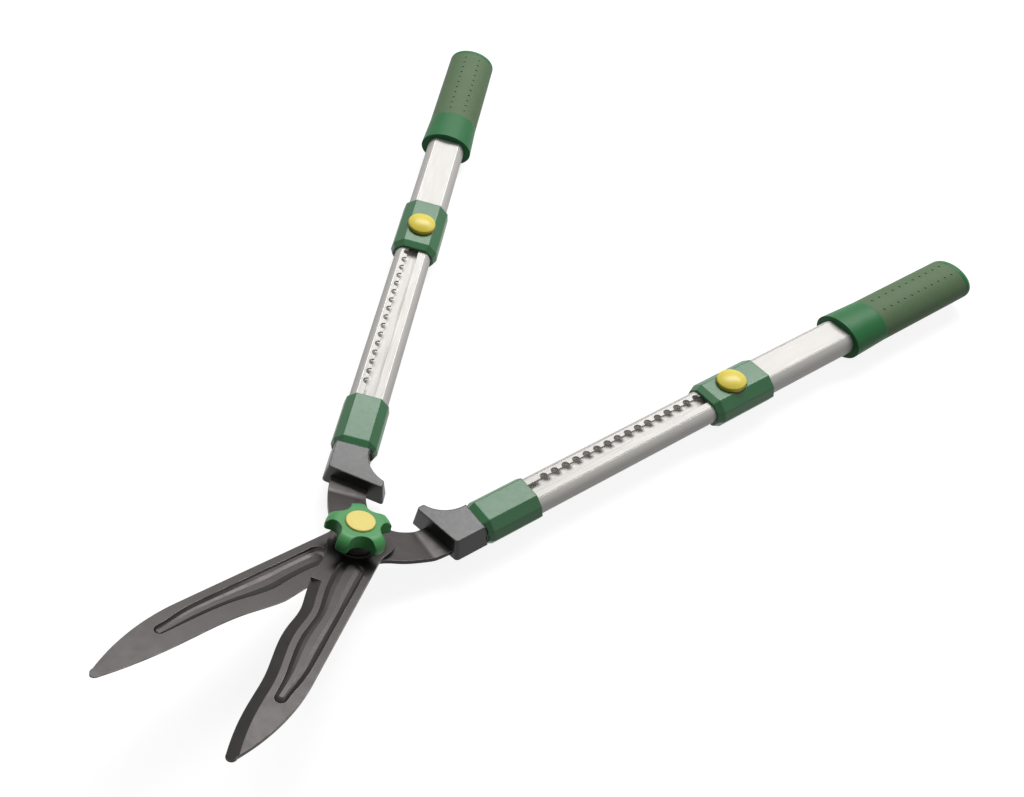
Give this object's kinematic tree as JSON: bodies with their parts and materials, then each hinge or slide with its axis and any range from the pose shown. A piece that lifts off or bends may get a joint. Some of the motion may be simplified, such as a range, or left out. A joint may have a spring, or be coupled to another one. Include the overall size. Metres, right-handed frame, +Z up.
{
  "type": "telescopic hedge shears",
  "caption": "Hedge shears with wavy blades, a star knob at the pivot, bumper bolsters, and cranked handles whose tubes slide and lock by a push button.",
  "frame": {"origin": "middle of the footprint, on the surface the shears lie on", "axes": "+Z up, knob side up; +Y from the blades towards the grips; +X towards the handle of the lower blade"},
  "size_m": [0.5378, 0.7026, 0.083],
  "materials": {
    "blade_steel": "dark coated, satin",
    "zinc_steel": "zinc plated",
    "spring_steel": "plain",
    "black_plastic": "matte",
    "bolster_black": "satin moulded",
    "knob_green": "semi-gloss",
    "disc_yellow": "semi-gloss",
    "button_yellow": "gloss",
    "collar_green": "semi-gloss",
    "grip_green": "semi-gloss",
    "grip_olive": "soft matte",
    "aluminium": "satin anodised"
  },
  "bodies": {
    "lower_half": {"lower_blade": "blade_steel", "pivot_bolt": "zinc_steel", "thrust_washer": "zinc_steel", "disc_spring": "spring_steel", "right_bolster": "bolster_black", "right_tang_rivet": "zinc_steel", "right_lower_collar": "collar_green", "right_inner_tube": "aluminium", "right_tube_glide": "black_plastic"},
    "upper_half": {"upper_blade": "blade_steel", "left_bolster": "bolster_black", "left_tang_rivet": "zinc_steel", "left_lower_collar": "collar_green", "left_inner_tube": "aluminium", "left_tube_glide": "black_plastic"},
    "knob": {"knob_hub": "black_plastic", "knob_nut": "zinc_steel", "star_knob": "knob_green", "knob_disc": "disc_yellow"},
    "left_extension": {"left_outer_tube": "aluminium", "left_lock_sleeve": "collar_green", "left_grip_core": "grip_green", "left_grip_cover": "grip_olive", "left_button_spring": "spring_steel"},
    "right_extension": {"right_outer_tube": "aluminium", "right_lock_sleeve": "collar_green", "right_grip_core": "grip_green", "right_grip_cover": "grip_olive", "right_button_spring": "spring_steel"},
    "left_button": {"left_lock_button": "button_yellow", "left_lock_pawl": "black_plastic"},
    "right_button": {"right_lock_button": "button_yellow", "right_lock_pawl": "black_plastic"}
  },
  "joints": [
    {"name": "blade_pivot", "type": "hinge", "parent": "lower_half", "child": "upper_half", "pos_m": [0, -0.17854, 0.02684], "axis": [0, 0.3098, 0.9508], "range_deg": [-27, 32]},
    {"name": "knob_turn", "type": "hinge", "parent": "lower_half", "child": "knob", "pos_m": [0, -0.17854, 0.02684], "axis": [0, 0.3098, 0.9508], "range_deg": [0, 90]},
    {"name": "left_slide", "type": "slide", "parent": "upper_half", "child": "left_extension", "axis": [-0.3991, 0.9169, 0], "range_m": [-0.1615, 0]},
    {"name": "left_button_press", "type": "slide", "parent": "left_extension", "child": "left_button", "axis": [0.1182, 0.0515, 0.9917], "range_m": [-0.002, 0], "stiffness_N_per_m": 1500, "springref_m": 0.003, "deforming": ["left_button_spring"]},
    {"name": "right_slide", "type": "slide", "parent": "lower_half", "child": "right_extension", "axis": [0.3991, 0.9169, 0], "range_m": [-0.1615, 0]},
    {"name": "right_button_press", "type": "slide", "parent": "right_extension", "child": "right_button", "axis": [-0.1182, 0.0515, 0.9917], "range_m": [-0.002, 0], "stiffness_N_per_m": 1500, "springref_m": 0.003, "deforming": ["right_button_spring"]}
  ]
}
